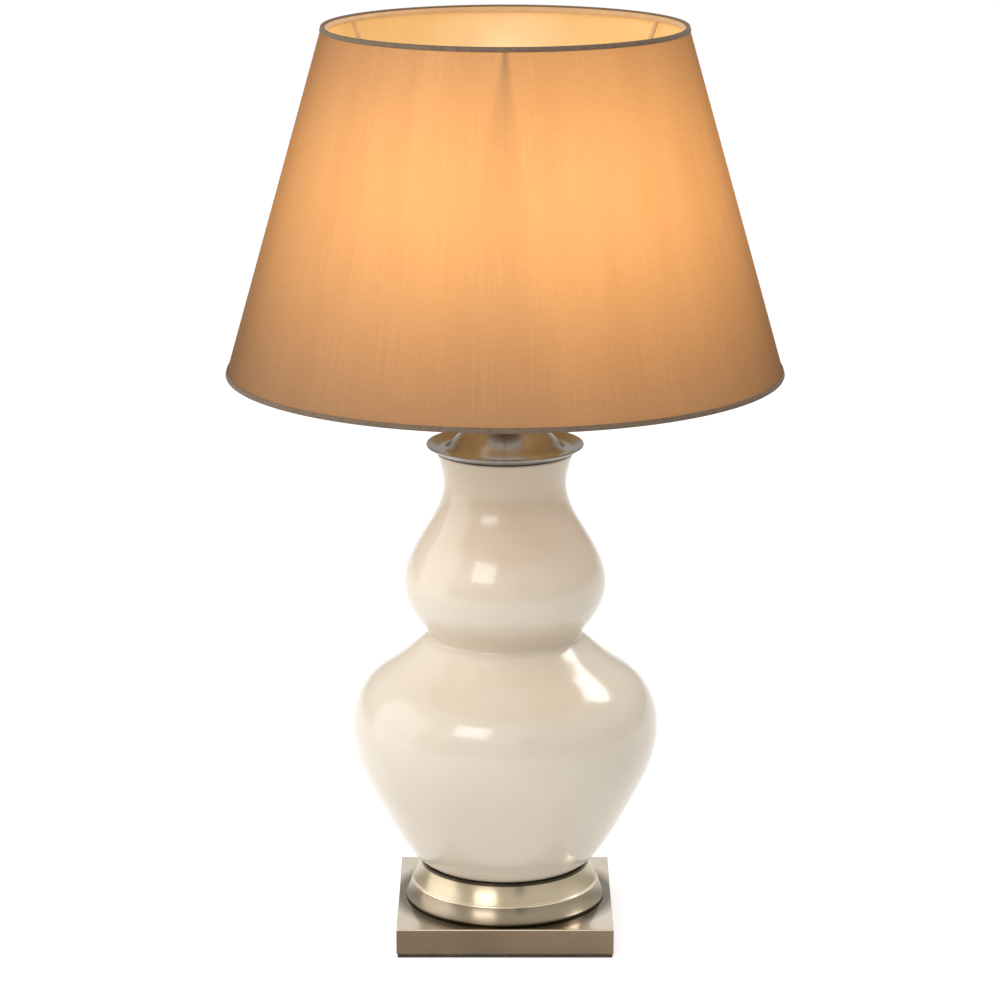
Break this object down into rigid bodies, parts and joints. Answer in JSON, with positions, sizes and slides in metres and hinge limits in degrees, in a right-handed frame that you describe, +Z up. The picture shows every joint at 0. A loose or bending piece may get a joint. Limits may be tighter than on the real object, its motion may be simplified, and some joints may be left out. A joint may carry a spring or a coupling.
{
  "type": "table lamp",
  "caption": "Table lamp with a glazed ceramic double gourd body on a metal ring and square plinth, a metal cap at its neck, and a lit conical fabric shade with a folded trim at each edge.",
  "frame": {"origin": "centre of the base on the surface the lamp stands on", "axes": "+Z up along the lamp's axis; +Y to the back, where the flex enters; -Y towards the viewer; +X to the viewer's right"},
  "size_m": [0.4073, 0.4074, 0.6772],
  "materials": {
    "base_felt": "dense dark felt",
    "zinc_steel": "zinc plated",
    "plinth_nickel": "aged, polished metal",
    "grommet_rubber": "black moulded rubber",
    "ballast_iron": "rough cast",
    "ring_nickel": "aged, polished metal",
    "seat_rubber": "black rubber",
    "cream_glaze": "glossy cream glaze",
    "cap_nickel": "aged, polished metal",
    "holder_brass": "polished brass",
    "switch_black": "black, glossy",
    "white_porcelain": "unglazed white",
    "contact_brass": "plain brass sheet",
    "white_wire": "white paint",
    "shade_liner": "smooth translucent white sheet",
    "shade_fabric": "slubby woven cloth, lit from inside",
    "shade_trim": "folded taupe tape",
    "bulb_tin": "bright metal",
    "bulb_black_glass": "dark vitreous insulator",
    "pearl_glass": "pearl, lit",
    "clear_glass": "clear",
    "filament": "glowing"
  },
  "bodies": {
    "stand": {"base_pad": "base_felt", "base_plate": "zinc_steel", "base_screws": "zinc_steel", "plinth": "plinth_nickel", "cord_grommet": "grommet_rubber", "ballast_weight": "ballast_iron", "base_nut": "zinc_steel", "base_washer": "zinc_steel", "pedestal_ring": "ring_nickel", "foot_seat": "seat_rubber", "gourd_body": "cream_glaze", "mouth_seat": "seat_rubber", "vase_cap": "cap_nickel", "threaded_tube": "zinc_steel", "star_washer": "zinc_steel", "top_nut": "zinc_steel", "neck_collar": "cap_nickel", "lampholder_cap": "holder_brass", "grub_screw": "zinc_steel", "lampholder_skirt": "holder_brass", "lampholder_insert": "white_porcelain", "screw_shell": "contact_brass", "centre_contact": "contact_brass", "terminal_screws": "contact_brass", "lower_carrier": "holder_brass"},
    "switch": {"switch_bar": "switch_black"},
    "clamp_ring": {"ring_nut": "holder_brass"},
    "shade": {"shade_centre_ring": "white_wire", "shade_arms": "white_wire", "shade_top_wire": "white_wire", "shade_bottom_wire": "white_wire", "shade_liner": "shade_liner", "shade_cover": "shade_fabric", "shade_seam": "shade_fabric", "shade_top_trim": "shade_trim", "shade_bottom_trim": "shade_trim"},
    "bulb": {"bulb_tip": "bulb_tin", "bulb_insulator": "bulb_black_glass", "bulb_screw_cap": "bulb_tin", "bulb_glass": "pearl_glass", "bulb_stem": "clear_glass", "bulb_filament": "filament"}
  },
  "joints": [
    {"name": "shade_turn", "type": "hinge", "parent": "stand", "child": "shade", "pos_m": [0, 0, 0.437], "axis": [0, 0, 1], "continuous": true},
    {"name": "ring_nut_lift", "type": "slide", "parent": "stand", "child": "clamp_ring", "axis": [0, 0, 1], "range_m": [0, 0.012]},
    {"name": "bulb_lift", "type": "slide", "parent": "stand", "child": "bulb", "axis": [0, 0, 1], "range_m": [0, 0.26]},
    {"name": "switch_push", "type": "slide", "parent": "stand", "child": "switch", "axis": [1, 0, 0], "range_m": [-0.005, 0]}
  ]
}
